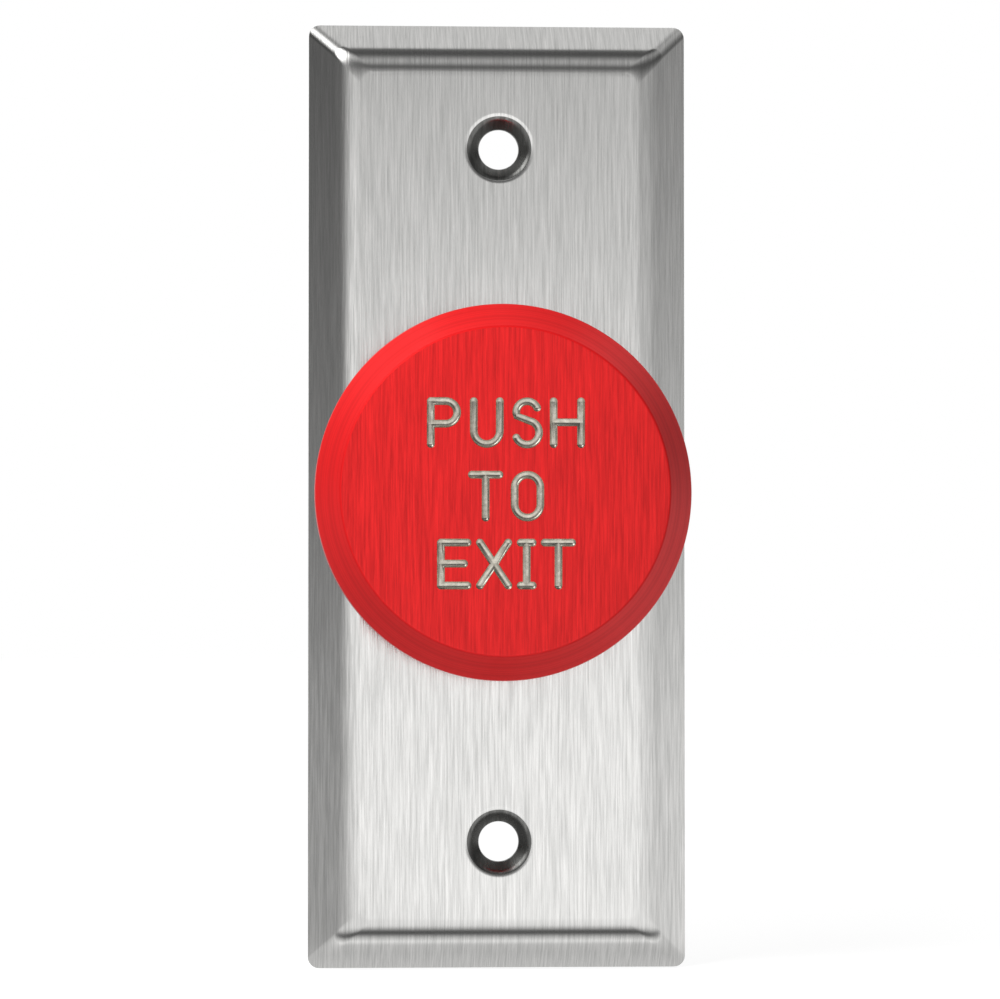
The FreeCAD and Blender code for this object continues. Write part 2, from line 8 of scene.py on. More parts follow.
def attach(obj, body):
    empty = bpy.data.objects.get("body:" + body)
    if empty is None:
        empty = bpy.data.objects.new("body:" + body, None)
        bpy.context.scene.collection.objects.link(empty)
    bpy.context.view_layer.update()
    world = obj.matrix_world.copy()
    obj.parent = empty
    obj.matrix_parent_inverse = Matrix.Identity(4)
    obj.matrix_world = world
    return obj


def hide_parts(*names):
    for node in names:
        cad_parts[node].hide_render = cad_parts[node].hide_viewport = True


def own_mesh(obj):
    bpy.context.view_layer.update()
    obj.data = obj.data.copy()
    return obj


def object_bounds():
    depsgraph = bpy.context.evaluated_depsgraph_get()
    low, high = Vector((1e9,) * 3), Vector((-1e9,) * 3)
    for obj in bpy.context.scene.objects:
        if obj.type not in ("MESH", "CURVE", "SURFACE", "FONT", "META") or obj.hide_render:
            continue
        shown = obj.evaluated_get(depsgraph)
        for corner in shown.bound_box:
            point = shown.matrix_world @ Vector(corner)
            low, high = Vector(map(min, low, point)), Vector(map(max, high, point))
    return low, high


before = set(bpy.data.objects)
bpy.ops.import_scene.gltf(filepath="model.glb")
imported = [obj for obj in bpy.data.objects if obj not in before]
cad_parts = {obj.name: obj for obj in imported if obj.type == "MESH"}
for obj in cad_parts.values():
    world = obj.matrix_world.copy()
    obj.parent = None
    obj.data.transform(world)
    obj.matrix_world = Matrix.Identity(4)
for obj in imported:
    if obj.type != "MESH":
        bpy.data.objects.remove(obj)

cad_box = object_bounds()

# Wall plate: 1 mm stainless sheet, pressed so that its four edges slope down to the wall, with two
# dimpled screw holes and a middle hole for the bushing. It was brushed lengthwise while it was flat,
# so the grain runs straight up the face and over the bends, and spreads each reflection sideways.
mm = 0.001
plate_half_width = 22.9
plate_half_length = 57.15
plate_depth = 5.4
plate_sheet = 1.0
bevel_run = 4.3
mitre_reach = 1.15
fold_reach = 2.0
hole_pitch = 83.34
screw_hole_radius = 2.4
cone_depth = 1.5
cone_half_angle = math.radians(41)
dimple_roll = 1.3
painted_dimple_shade_radius = 3.9
roll_steps = 8
screw_land = 0.7
middle_hole_radius = 8.09
patch_half = 8.6
ring_segments = 64
wall_edge = 0.12
weld = 1e-7
touch = 1e-6
sharp_angle = math.radians(32)


def linear(code):
    """Linear colour, with alpha, of an sRGB hex code."""
    parts = [int(code[i:i + 2], 16) / 255 for i in (1, 3, 5)]
    return [c / 12.92 if c <= 0.04045 else ((c + 0.055) / 1.055) ** 2.4 for c in parts] + [1.0]


def add_node(tree, kind, settings, links):
    """One shader node with its settings, and with inputs linked from other nodes' outputs."""
    node = tree.nodes.new("ShaderNode" + kind)
    for name, value in settings.items():
        if isinstance(name, int) or name in node.inputs:
            node.inputs[name].default_value = value
        else:
            setattr(node, name, value)
    for name, output in links.items():
        tree.links.new(output, node.inputs[name])
    return node


def surface(name, dark, light, metallic, roughness, spread, grain, relief, axis=None, others=None):
    """Material whose tone, roughness and fine relief follow one fractal grain.

    grain is its coarsest length in mm along X, Y and Z. With axis, a point on a line along Y that the
    piece was turned about, it is the length along the radius, the line, and across the turn.
    """
    material = bpy.data.materials.new(name)
    material.use_nodes = True
    tree = material.node_tree
    shader = tree.nodes["Principled BSDF"]
    shader.inputs["Metallic"].default_value = metallic
    for socket, value in (others or {}).items():
        shader.inputs[socket].default_value = value
    place = add_node(tree, "TexCoord", {}, {}).outputs["Object"]
    if axis:
        centred = add_node(tree, "Mapping", {"Location": [-c for c in axis]}, {"Vector": place})
        parts = add_node(tree, "SeparateXYZ", {}, {"Vector": centred.outputs[0]})
        flat = add_node(tree, "CombineXYZ", {}, {"X": parts.outputs["X"], "Z": parts.outputs["Z"]})
        radius = add_node(tree, "VectorMath", {"operation": "LENGTH"}, {0: flat.outputs[0]})
        turned = add_node(tree, "CombineXYZ", {}, {"X": radius.outputs["Value"], "Y": parts.outputs["Y"]})
        place = turned.outputs[0]
    scaled = add_node(tree, "Mapping", {"Scale": [1 / (g * mm) for g in grain]}, {"Vector": place})
    noise = add_node(tree, "TexNoise", {"Scale": 1.0, "Detail": 5.0, "Roughness": 0.62},
                     {"Vector": scaled.outputs[0]}).outputs[0]
    share = add_node(tree, "MapRange", {"From Min": 0.3, "From Max": 0.7}, {"Value": noise}).outputs[0]
    tone = add_node(tree, "MixRGB", {"Color1": linear(dark), "Color2": linear(light)}, {"Fac": share})
    rough = add_node(tree, "MapRange", {"To Min": roughness + spread, "To Max": roughness - spread},
                     {"Value": share})
    bump = add_node(tree, "Bump", {"Distance": relief * mm, "Strength": 1.0}, {"Height": noise})
    tree.links.new(tone.outputs[0], shader.inputs["Base Color"])
    tree.links.new(rough.outputs[0], shader.inputs["Roughness"])
    tree.links.new(bump.outputs[0], shader.inputs["Normal"])
    return material


def raw(name, bm, *materials):
    """Object from a bmesh, all its faces smooth, before it is carved or completed."""
    bmesh.ops.recalc_face_normals(bm, faces=bm.faces[:])
    mesh = bpy.data.meshes.new(name)
    bm.to_mesh(mesh)
    bm.free()
    for material in materials:
        mesh.materials.append(material)
    mesh.polygons.foreach_set("use_smooth", [True] * len(mesh.polygons))
    made = bpy.data.objects.new(name, mesh)
    bpy.context.collection.objects.link(made)
    return made


def complete(made, body, slot, edge, *replaced):
    """Creases stay sharp, outer edges are softened by edge mm, and the piece joins its body. slot is not
    used.
    """
    made.data.set_sharp_from_angle(angle=sharp_angle)
    if edge:
        soften = made.modifiers.new("soften", "BEVEL")
        soften.width = edge * mm
        soften.segments = 2
        soften.limit_method = "ANGLE"
        soften.angle_limit = sharp_angle
    shading = made.modifiers.new("shading", "WEIGHTED_NORMAL")
    shading.keep_sharp = True
    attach(made, body)
    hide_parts(*replaced)
    return made


def sink(bm, ring, centre, steps):
    """Carries a ring of edges through (radius, y) steps in mm, leaving a wall of faces behind it."""
    for radius, y in steps:
        grown = bmesh.ops.extrude_edge_only(bm, edges=ring)["geom"]
        verts = [g for g in grown if isinstance(g, bmesh.types.BMVert)]
        edges = [g for g in grown if isinstance(g, bmesh.types.BMEdge)]
        ring = [e for e in edges if all(v in verts for v in e.verts)]
        share = radius * mm / (verts[0].co - centre).xz.length
        bmesh.ops.scale(bm, vec=(share, 1, share), space=Matrix.Translation(-centre), verts=verts)
        bmesh.ops.translate(bm, vec=(0, y * mm - verts[0].co.y, 0), verts=verts)


def round_the_hole(vert, centre):
    """Angle of a vertex about a hole's centre, from a little below the +X side, so that none is in doubt."""
    return (math.atan2(vert.co.z - centre.z, vert.co.x) + 0.01) % (2 * math.pi)


# Long fine streaks that part light and grey, and draw every reflection out sideways.
brushed_stainless = surface("brushed_stainless_sheet", "#cfcfcd", "#f4f3f1", 1.0, 0.20, 0.04,
                            (0.22, 7.0, 7.0), 0.016)
# Smooth metal left by the punch, without brush marks, and a tone far darker than the face's: painted shade
# that makes the dimples look darker.
dimple_painted_shade_stainless = surface("dimple_stainless_painted_shade", "#636361", "#8b8b89", 1.0, 0.30, 0.06,
                            (0.4, 3.0, 3.0), 0.006)

# An open box whose sides slope, carried a sheet's thickness past the wall, where it is trimmed later.
plate = bmesh.new()
bmesh.ops.create_cube(plate, size=1.0)
spill = plate_sheet
for corner in plate.verts:
    in_front = corner.co.y < 0
    widen = -bevel_run if in_front else bevel_run * spill / plate_depth
    corner.co.x = math.copysign((plate_half_width + widen) * mm, corner.co.x)
    corner.co.z = math.copysign((plate_half_length + widen) * mm, corner.co.z)
    corner.co.y = (-plate_depth if in_front else spill) * mm
back = [f for f in plate.faces if f.calc_center_median().y > spill * mm * 0.9]
bmesh.ops.delete(plate, geom=back, context="FACES_ONLY")

# The four folds are rounded first. The mitres, which run back from the face at the corners, are then
# the only edges that lead both sideways and up, and are rounded in turn.
front_y = -plate_depth * mm
folds = [e for e in plate.edges if all(v.co.y < front_y + touch for v in e.verts)]
bmesh.ops.bevel(plate, geom=folds, offset=fold_reach * mm, offset_type="OFFSET", segments=10,
                profile=0.5, affect="EDGES", material=-1)
spans = {e: e.verts[0].co - e.verts[1].co for e in plate.edges}
mitres = [e for e, span in spans.items() if min(abs(span.x), abs(span.z)) > touch]
bmesh.ops.bevel(plate, geom=mitres, offset=mitre_reach * mm, offset_type="OFFSET", segments=6,
                profile=0.5, affect="EDGES", material=-1)

# The flat face is cut into squares round the three holes, and each square is opened into a circle.
heights = [-hole_pitch / 2, 0.0, hole_pitch / 2]
cuts = [(x, 0.0, (1, 0, 0)) for x in (-patch_half, patch_half)]
cuts += [(0.0, height + side, (0, 0, 1)) for height in heights for side in (-patch_half, patch_half)]
for x, z, normal in cuts:
    flat = [f for f in plate.faces if f.calc_center_median().y < front_y + weld and f.normal.y < -0.999]
    around = {e for f in flat for e in f.edges} | {v for f in flat for v in f.verts}
    bmesh.ops.bisect_plane(plate, geom=flat + list(around), dist=weld,
                           plane_co=(x * mm, 0, z * mm), plane_no=normal)

cone_top = screw_hole_radius + cone_depth * math.tan(cone_half_angle)
roll_turn = math.pi / 2 - cone_half_angle
roll_radius = cone_top + dimple_roll * math.tan(roll_turn / 2)
roll_turns = [roll_turn * step / roll_steps for step in range(1, roll_steps + 1)]
dimple_steps = [(roll_radius - dimple_roll * math.sin(turn),
                 -plate_depth + dimple_roll * (1 - math.cos(turn))) for turn in roll_turns]
dimple_steps += [(screw_hole_radius, cone_depth - plate_depth)]
dimple_steps += [(screw_hole_radius, cone_depth - plate_depth + screw_land)]
for height in heights:
    centre = Vector((0, front_y, height * mm))
    patch = min(plate.faces, key=lambda f: (f.calc_center_median() - centre).length)
    border = patch.edges[:]
    bmesh.ops.delete(plate, geom=[patch], context="FACES_ONLY")
    pieces = bmesh.ops.subdivide_edges(plate, edges=border, cuts=ring_segments // 4 - 1)["geom_split"]
    border = [g for g in pieces if isinstance(g, bmesh.types.BMEdge)]
    radius = roll_radius if height else middle_hole_radius
    stand = Matrix.Translation(centre) @ Matrix.Rotation(math.pi / 2, 4, "X")
    circle = bmesh.ops.create_circle(plate, radius=radius * mm, segments=ring_segments,
                                     matrix=stand)["verts"]
    ring = [e for e in plate.edges if all(v in circle for v in e.verts)]
    outside, inside = [sorted(verts, key=lambda v: round_the_hole(v, centre))
                       for verts in ({v for e in border for v in e.verts}, circle)]
    for step in range(ring_segments):
        plate.faces.new((outside[step - 1], outside[step], inside[step], inside[step - 1]))
    if height:
        sink(plate, ring, centre, dimple_steps)
        # The cone and inner roll round each screw hole take the darker material, painted shade in the
        # dimple.
        for face in plate.faces:
            if (face.calc_center_median() - centre).xz.length < painted_dimple_shade_radius * mm:
                face.material_index = 1

bmesh.ops.recalc_face_normals(plate, faces=plate.faces[:])
plate.normal_update()
if next(f for f in plate.faces if f.calc_center_median().y < front_y + weld).normal.y > 0:
    bmesh.ops.reverse_faces(plate, faces=plate.faces[:])
bmesh.ops.solidify(plate, geom=plate.faces[:], thickness=plate_sheet * mm)
trim = bmesh.ops.bisect_plane(plate, geom=plate.verts[:] + plate.edges[:] + plate.faces[:], dist=weld,
                              plane_co=(0, 0, 0), plane_no=(0, 1, 0), clear_outer=True)
rim = [g for g in trim["geom_cut"] if isinstance(g, bmesh.types.BMEdge)]
bmesh.ops.bridge_loops(plate, edges=rim)
wall_plate = raw("wall_plate", plate, brushed_stainless, dimple_painted_shade_stainless)
complete(wall_plate, "base", "brushed_stainless", wall_edge, "face_plate")


# Bushing: brass, turned and nickel plated, with a flange in front and a fine thread on its barrel. It is
# put through the plate from the front, with a rubber gasket under its flange, and a rubber cushion
# lies on the flange for the knob's hub to land on.
flange_front = -7.6
flange_back = -6.0
flange_radius = 11.0
barrel_radius = 7.9375
barrel_back = 3.6
thread_depth = 0.42
thread_pitch = 0.8
thread_front = -4.0
thread_relief = 0.3
pocket_radius = 5.4
counterbore_floor = -2.0
stem_bore = 3.225
gasket_inset = 0.5
rubber_clearance = 0.15
cushion_front = -8.4
hub_radius = 8.5


def lathe(corners, steps, centre=(0, 0), closed=False, bm=None, turn=2 * math.pi):
    """Solid turned about the line along Y through (x, z), from (radius, y, rounding) corners in mm."""
    bm = bm or bmesh.new()
    before = set(bm.verts)
    x, z = centre
    verts = [bm.verts.new(((x + r) * mm, y * mm, z * mm)) for r, y, rounding in corners]
    for first, second in zip(verts, verts[1:] + verts[:1] if closed else verts[1:]):
        bm.edges.new((first, second))
    for vert, (r, y, rounding) in zip(verts, corners):
        if rounding:
            bmesh.ops.bevel(bm, geom=[vert], offset=rounding * mm, offset_type="OFFSET", segments=4,
                            profile=0.5, affect="VERTICES", material=-1)
    fresh = [v for v in bm.verts if v not in before]
    section = fresh + list({e for v in fresh for e in v.link_edges})
    bmesh.ops.spin(bm, geom=section, cent=(x * mm, 0, z * mm), axis=(0, 1, 0), dvec=(0, 0, 0),
                   angle=turn, steps=steps, use_merge=turn == 2 * math.pi)
    bmesh.ops.remove_doubles(bm, verts=bm.verts[:], dist=weld)
    bmesh.ops.holes_fill(bm, edges=[e for e in bm.edges if e.is_boundary], sides=0)
    return bm


def wind(bm, section, turns, rise, steps):
    """Winds a section on about the Y axis, rising by rise mm in each turn, and returns its last ring."""
    count = round(turns * steps)
    return bmesh.ops.spin(bm, geom=section, cent=(0, 0, 0), axis=(0, 1, 0), dvec=(0, rise * mm / steps, 0),
                          angle=2 * math.pi * count / steps, steps=count)["geom_last"]


def cut_thread(bm, crest, depth, pitch, start, end, steps):
    """Right-hand ridge of triangular section from start to end, rooted a little inside the core."""
    root = crest - depth - 0.03
    corners = [(crest, start + pitch / 2), (root, start), (root, start + pitch)]
    verts = [bm.verts.new((r * mm, y * mm, 0)) for r, y in corners]
    edges = [bm.edges.new((verts[i - 1], verts[i])) for i in range(3)]
    wind(bm, verts + edges, (end - start) / pitch - 1, pitch, steps)
    bmesh.ops.holes_fill(bm, edges=[e for e in bm.edges if e.is_boundary], sides=0)


# Warm white metal with the fine rings of the lathe, so that flats flash as sectors.
turned_nickel = surface("turned_nickel_plated_brass", "#b8b1a0", "#dcd6c6", 1.0, 0.22, 0.05,
                        (0.3, 0.3, 1.0), 0.004, axis=(0, 0, 0))

# Dull, nearly black, with a slight bloom and no sharp highlight.
black_rubber = surface("black_rubber", "#121212", "#232322", 0.0, 0.72, 0.1, (0.5, 0.5, 0.5), 0.02)

core = barrel_radius - thread_depth
bushing = lathe([(stem_bore, counterbore_floor, 0), (pocket_radius, counterbore_floor, 0.2),
                 (pocket_radius, flange_front, 0.3), (flange_radius, flange_front, 0.4),
                 (flange_radius, flange_back, 0.2), (barrel_radius, flange_back, 0),
                 (barrel_radius, thread_front - thread_relief, 0), (core, thread_front + 0.1, 0),
                 (core, barrel_back, 0.2), (stem_bore, barrel_back, 0.3)], 128, closed=True)
cut_thread(bushing, barrel_radius, thread_depth, thread_pitch, thread_front, barrel_back - 0.35, 96)
complete(raw("bushing", bushing, turned_nickel), "base", "nickel_plated_brass", 0, "threaded_bushing")

gasket_inside = barrel_radius + rubber_clearance
gasket_outside = flange_radius - gasket_inset
gasket = lathe([(gasket_inside, flange_back, 0.1), (gasket_outside, flange_back, 0.15),
                (gasket_outside, -plate_depth, 0.15), (gasket_inside, -plate_depth, 0.1)], 128, closed=True)
complete(raw("gasket", gasket, black_rubber), "base", "black_rubber", 0, "bushing_gasket")

cushion_inside = pocket_radius + rubber_clearance
cushion = lathe([(cushion_inside, cushion_front, 0.2), (hub_radius, cushion_front, 0.25),
                 (hub_radius, flange_front, 0.1), (cushion_inside, flange_front, 0.1)], 128, closed=True)
complete(raw("cushion_washer", cushion, black_rubber), "base", "black_rubber", 0, "stop_washer")


# Switch bracket: a channel pressed from 1.2 mm sheet, then zinc plated. Its foot goes over the barrel
# behind the plate, and a toothed washer and a big thin brass nut clamp it there.
nut_flat = 11.1
nut_front = -2.4
nut_back = 1.6
nut_turning = math.radians(30)
running_fit = 0.05


def merged(name, node, material):
    """Raw piece from a merged copy of a CAD node's mesh, with each of its flat faces whole."""
    bm = bmesh.new()
    bm.from_mesh(bpy.data.objects[node].data)
    bmesh.ops.remove_doubles(bm, verts=bm.verts[:], dist=touch)
    bmesh.ops.dissolve_limit(bm, angle_limit=math.radians(0.5), verts=bm.verts[:], edges=bm.edges[:])
    return raw(name, bm, material)


def dressed(name, node, body, slot, material, edge):
    """Piece that keeps the shape of a CAD node, with its edges softened."""
    return complete(merged(name, node, material), body, slot, edge, node)


def carve(target, cutter, operation="DIFFERENCE"):
    """Cuts a solid out of a raw piece for good. The cut faces keep the cutter's material."""
    cut = target.modifiers.new("cut", "BOOLEAN")
    cut.object = cutter
    cut.operation = operation
    cut.solver = "EXACT"
    cut.use_self = True
    cut.material_mode = "TRANSFER"
    bpy.context.view_layer.update()
    evaluated = target.evaluated_get(bpy.context.evaluated_depsgraph_get())
    mesh = bpy.data.meshes.new_from_object(evaluated)
    target.modifiers.remove(cut)
    target.data = mesh
    bpy.data.objects.remove(cutter)


def hexagon_nut(name, flat, front, back, bore, material):
    """Raw nut along Y, corners up and down, sawn from hexagon bar, bored, and its corners turned down."""
    corner = 2 * flat / math.sqrt(3)
    drop = (corner - flat) * math.tan(nut_turning)
    nut = bmesh.new()
    stand = Matrix.Translation((0, front * mm, 0)) @ Matrix.Rotation(math.pi / 2, 4, "X")
    bmesh.ops.create_circle(nut, cap_ends=True, radius=corner * mm, segments=6, matrix=stand)
    grown = bmesh.ops.extrude_face_region(nut, geom=nut.faces[:])["geom"]
    bmesh.ops.translate(nut, vec=(0, (back - front) * mm, 0),
                        verts=[g for g in grown if isinstance(g, bmesh.types.BMVert)])
    made = raw(name, nut, material)
    turning = lathe([(bore, front, 0), (flat, front, 0), (corner, front + drop, 0), (corner, back - drop, 0),
                     (flat, back, 0), (bore, back, 0)], 96, closed=True)
    carve(made, raw("turning", turning, material), "INTERSECT")
    return made


# Bluish grey sheet whose plating is cloudy in patches of a millimetre or two.
zinc_plate = surface("zinc_plated_sheet", "#a9b1b6", "#cbcfcc", 1.0, 0.28, 0.06, (1.6, 1.6, 1.6), 0.006)
dressed("bracket", "switch_bracket", "base", "zinc_plated_steel", zinc_plate, 0.2)
dressed("toothed_washer", "lock_washer", "base", "zinc_plated_steel", zinc_plate, 0.1)
big_nut = hexagon_nut("big_nut", nut_flat, nut_front, nut_back, barrel_radius + running_fit, turned_nickel)
complete(big_nut, "base", "nickel_plated_brass", 0.12, "bushing_nut")


# Push button: a solid aluminium knob, turned, anodised red and then engraved, so that the cutter's
# round-bottomed strokes show bare metal. Its face is brushed upright like the plate and its chamfer
# and skirt keep the fine rings of the lathe. The hub behind it holds the spring and the plunger.
cap_radius = 22.225
cap_front = -19.9
cap_back = -10.4
face_radius = 19.3
chamfer_back = -15.4
skirt_radius = 19.025
recess_floor = -14.4
hub_back = -11.45
pocket_floor = -14.05
bore_floor = -18.0
tall = 5.0
bar = 3.2
top_row = 5.5
middle_row = -3.08
bottom_row = -11.0
stroke_width = 0.93
stroke_depth = 0.3


def arc(x, z, radius, start, end, squeeze=1.0):
    """Points of an arc from start to end degrees about (x, z), squeezed in height."""
    count = max(2, round(abs(end - start) / 12))
    angles = [math.radians(start + (end - start) * step / count) for step in range(count + 1)]
    return [(x + radius * math.cos(a), z + radius * squeeze * math.sin(a)) for a in angles]


# Deep clear red over upright brush marks, brighter where the marks catch the light.
red_face = surface("red_anodised_brushed", "#c01618", "#ee2223", 0.45, 0.46, 0.05, (0.25, 6.0, 6.0), 0.01)

# The same red over lathe rings, even in tone and satin all round the rim.
red_turned = surface("red_anodised_turned", "#c41518", "#de1d1f", 0.3, 0.40, 0.05, (0.3, 0.3, 1.0), 0.003,
                     axis=(0, 0, 0), others={"Specular IOR Level": 0.2})

# Bare pale metal left by the cutter, a little uneven, with a bright line along each stroke.
engraved_metal = surface("bare_aluminium_engraving", "#b3aea0", "#ded9cc", 1.0, 0.26, 0.08,
                         (0.6, 0.6, 0.6), 0.004)

cap_corners = [(0, cap_front, 0), (face_radius, cap_front, 0.22), (cap_radius, chamfer_back, 0.2)]
cap_corners += [(cap_radius, cap_back, 0.4), (skirt_radius, cap_back, 0.3)]
cap_corners += [(skirt_radius, recess_floor, 0.6), (hub_radius, recess_floor, 0.6)]
cap_corners += [(hub_radius, hub_back, 0.4), (pocket_radius, hub_back, 0.2)]
cap_corners += [(pocket_radius, pocket_floor, 0), (stem_bore, pocket_floor, 0)]
cap_corners += [(stem_bore, bore_floor, 0), (0, bore_floor, 0)]
cap = lathe(cap_corners, 256)
for face in cap.faces:
    face.material_index = 0 if face.calc_center_median().y < (cap_front + 0.02) * mm else 1
cap_piece = raw("push_button", cap, red_face, red_turned)

# Strokes of each letter in a cell that is one bar wide, and where each cell's lower left corner goes.
letters = {
    "P": [[(0, 0), (0, tall)],
          [(0, tall), (1.7, tall)] + arc(1.75, 3.68, 1.32, 90, -90) + [(1.7, 2.36), (0, 2.36)]],
    "U": [[(0, tall)] + arc(1.52, 1.52, 1.52, 180, 360) + [(3.04, tall)]],
    "S": [arc(1.5, 3.72, 1.28, 25, 200) + arc(1.5, 1.34, 1.4, 62, -155)],
    "H": [[(0, 0), (0, tall)], [(bar, 0), (bar, tall)], [(0, 2.55), (bar, 2.55)]],
    "T": [[(0, tall), (bar, tall)], [(bar / 2, tall), (bar / 2, 0)]],
    "O": [arc(1.5, 3.5, 1.5, 0, 180) + arc(1.5, 1.5, 1.5, 180, 360) + [(3.0, 3.5)]],
    "E": [[(0, 0), (0, tall)], [(0, tall), (3.1, tall)], [(0, 2.55), (2.7, 2.55)], [(0, 0), (3.1, 0)]],
    "X": [[(0, 0), (3.3, tall)], [(0, tall), (3.3, 0)]],
    "I": [[(0.7, 0), (0.7, tall)], [(0, tall), (1.4, tall)], [(0, 0), (1.4, 0)]],
}
legend = [("P", -8.75, top_row), ("U", -3.74, top_row), ("S", 1.0, top_row), ("H", 5.6, top_row)]
legend += [("T", -3.95, middle_row), ("O", 1.04, middle_row)]
legend += [("E", -7.57, bottom_row), ("X", -3.02, bottom_row), ("I", 1.74, bottom_row)]
legend += [("T", 4.55, bottom_row)]

# A round rod is drawn along the strokes with a ball at each free end, sunk by the depth of the cut.
cutter_radius = (stroke_width ** 2 / 4 + stroke_depth ** 2) / (2 * stroke_depth)
cutter_y = cap_front - cutter_radius + stroke_depth
strokes = bpy.data.curves.new("strokes", "CURVE")
strokes.dimensions = "3D"
strokes.bevel_depth = cutter_radius * mm
strokes.bevel_resolution = 4
strokes.use_fill_caps = True
ends = []
for letter, left, bottom in legend:
    for path in letters[letter]:
        loop = (Vector(path[0]) - Vector(path[-1])).length < touch
        points = path[:-1] if loop else path
        spline = strokes.splines.new("POLY")
        spline.points.add(len(points) - 1)
        spline.use_cyclic_u = loop
        for point, (x, z) in zip(spline.points, points):
            point.co = ((left + x) * mm, cutter_y * mm, (bottom + z) * mm, 1)
        if not loop:
            ends += [(left + x, bottom + z) for x, z in (path[0], path[-1])]
stroke_object = bpy.data.objects.new("strokes", strokes)
bpy.context.collection.objects.link(stroke_object)
bpy.context.view_layer.update()
swept = stroke_object.evaluated_get(bpy.context.evaluated_depsgraph_get()).to_mesh()
engraver = bmesh.new()
engraver.from_mesh(swept)
bpy.data.objects.remove(stroke_object)
bmesh.ops.remove_doubles(engraver, verts=engraver.verts[:], dist=touch)
for x, z in ends:
    stand = Matrix.Translation((x * mm, cutter_y * mm, z * mm)) @ Matrix.Rotation(math.pi / 2, 4, "X")
    bmesh.ops.create_uvsphere(engraver, u_segments=16, v_segments=11, radius=cutter_radius * mm,
                              matrix=stand)
carve(cap_piece, raw("engraver", engraver, engraved_metal))
complete(cap_piece, "button", "red_anodised_aluminium", 0, "button_cap")


# Plunger, spring and clip: a ground steel rod screwed into the knob slides in the bushing. A coil spring
# of hard drawn wire, its ends closed and ground flat, pushes the knob out, and behind the bushing a
# nylon washer and a spring-steel clip in the rod's groove stop it.
stem_radius = 3.175
stem_front = -17.95
stem_groove = 0.6
clip_front = 4.25
clip_back = 5.05
stem_tip = 8.05
tip_radius = 4.0
nylon_radius = 6.4
nylon_front = 3.65
spring_wire = 0.45
spring_ground = 0.15
spring_radius = 4.4
spring_front = -14.0
spring_back = -2.05
spring_coils = 4
spring_steps = 72

# Bright and clean, with faint rings round the rod.
ground_steel = surface("ground_steel", "#a9abad", "#d6d7d7", 1.0, 0.17, 0.04, (0.2, 0.35, 1.0), 0.002,
                       axis=(0, 0, 0))

# Dark grey, slightly oily, and spotted finely by the drawing die.
spring_steel = surface("hard_drawn_spring_steel", "#515256", "#85868a", 1.0, 0.30, 0.08,
                       (0.25, 0.25, 0.25), 0.004)

# Milky cream that lets a little light in at its edges.
nylon = surface("natural_nylon", "#d8d0b8", "#ebe5d3", 0.0, 0.42, 0.06, (1.5, 1.5, 1.5), 0.01,
                others={"Subsurface Weight": 0.12, "Subsurface Scale": 0.001})

tip_centre = stem_tip - tip_radius
tip_start = math.degrees(math.acos(stem_radius / tip_radius))
stem_corners = [(0, stem_front, 0), (stem_radius, stem_front, 0.3), (stem_radius, clip_front, 0.05)]
groove_radius = stem_radius - stem_groove
groove_back = clip_back + running_fit
stem_corners += [(groove_radius, clip_front, 0), (groove_radius, groove_back, 0)]
stem_corners += [(stem_radius, groove_back, 0.05)]
stem_corners += [(r, y, 0) for r, y in arc(0, tip_centre, tip_radius, tip_start, 90)]
plunger = raw("plunger", lathe(stem_corners, 64), ground_steel)
complete(plunger, "button", "ground_steel", 0, "plunger_stem")

spring = bmesh.new()
wire_start = spring_front + spring_ground
wire_travel = spring_back - spring_front - 2 * spring_ground
stand = Matrix.Translation((spring_radius * mm, wire_start * mm, 0))
bmesh.ops.create_circle(spring, radius=spring_wire * mm, segments=14, matrix=stand)
section = spring.verts[:] + spring.edges[:]
end_rise = 2 * spring_wire
middle_rise = (wire_travel - 2 * end_rise) / spring_coils
for turns, rise in ((1, end_rise), (spring_coils, middle_rise), (1, end_rise)):
    section = wind(spring, section, turns, rise, spring_steps)
bmesh.ops.holes_fill(spring, edges=[e for e in spring.edges if e.is_boundary], sides=0)
for place, outward in ((spring_front, -1), (spring_back, 1)):
    bmesh.ops.bisect_plane(spring, geom=spring.verts[:] + spring.edges[:] + spring.faces[:], dist=weld,
                           plane_co=(0, place * mm, 0), plane_no=(0, outward, 0), clear_outer=True)
    bmesh.ops.holes_fill(spring, edges=[e for e in spring.edges if e.is_boundary], sides=0)
coil_spring = raw("coil_spring", spring, spring_steel)
complete(coil_spring, "base", "spring_steel", 0, "return_spring")
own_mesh(coil_spring)

nylon_corners = [(stem_bore, nylon_front, 0.1), (nylon_radius, nylon_front, 0.12)]
nylon_corners += [(nylon_radius, clip_front, 0.12), (stem_bore, clip_front, 0.1)]
nylon_washer = lathe(nylon_corners, 96, closed=True)
complete(raw("nylon_washer", nylon_washer, nylon), "button", "natural_nylon", 0, "thrust_washer")
dressed("e_clip", "retaining_ring", "button", "spring_steel", spring_steel, 0.12)


# Switch: a standard miniature snap-action switch. Its case and lid are moulded black phenolic with
# shallow panels, ejector marks and ears for the hinge pin. Brass terminals, silver contacts and a
# copper-alloy blade are inside, and a stainless lever presses its red pin.
case_left = -5.15
case_right = 5.15
pin_line = 10.0
pin_radius = 1.5
pin_tip = 10.23
pin_dome = 1.8
collar_front = 13.55
collar_back = 15.15
collar_radius = 2.3
foot_back = 18.67
foot_radius = 1.0
contact_line = 4.0
contact_radius = 1.4
contact_seats = [(18.65, 19.25), (22.39, 21.79)]
rivet_front = 19.37
rivet_back = 20.87
rivet_head = 0.6
rivet_shank = 0.75
panel_low = (14.3, 3.0)
panel_high = (25.6, 17.4)
panel_depth = 0.3
panel_corner = 1.2
mark_places = [(24.4, -0.6), (15.6, 20.4)]
mark_radius = 1.1
mark_depth = 0.15

# Black with a soft sheen and the faint unevenness of a moulded skin.
phenolic = surface("black_phenolic_moulding", "#0d0d0e", "#1d1d1f", 0.0, 0.40, 0.08,
                   (0.9, 0.9, 0.9), 0.012)

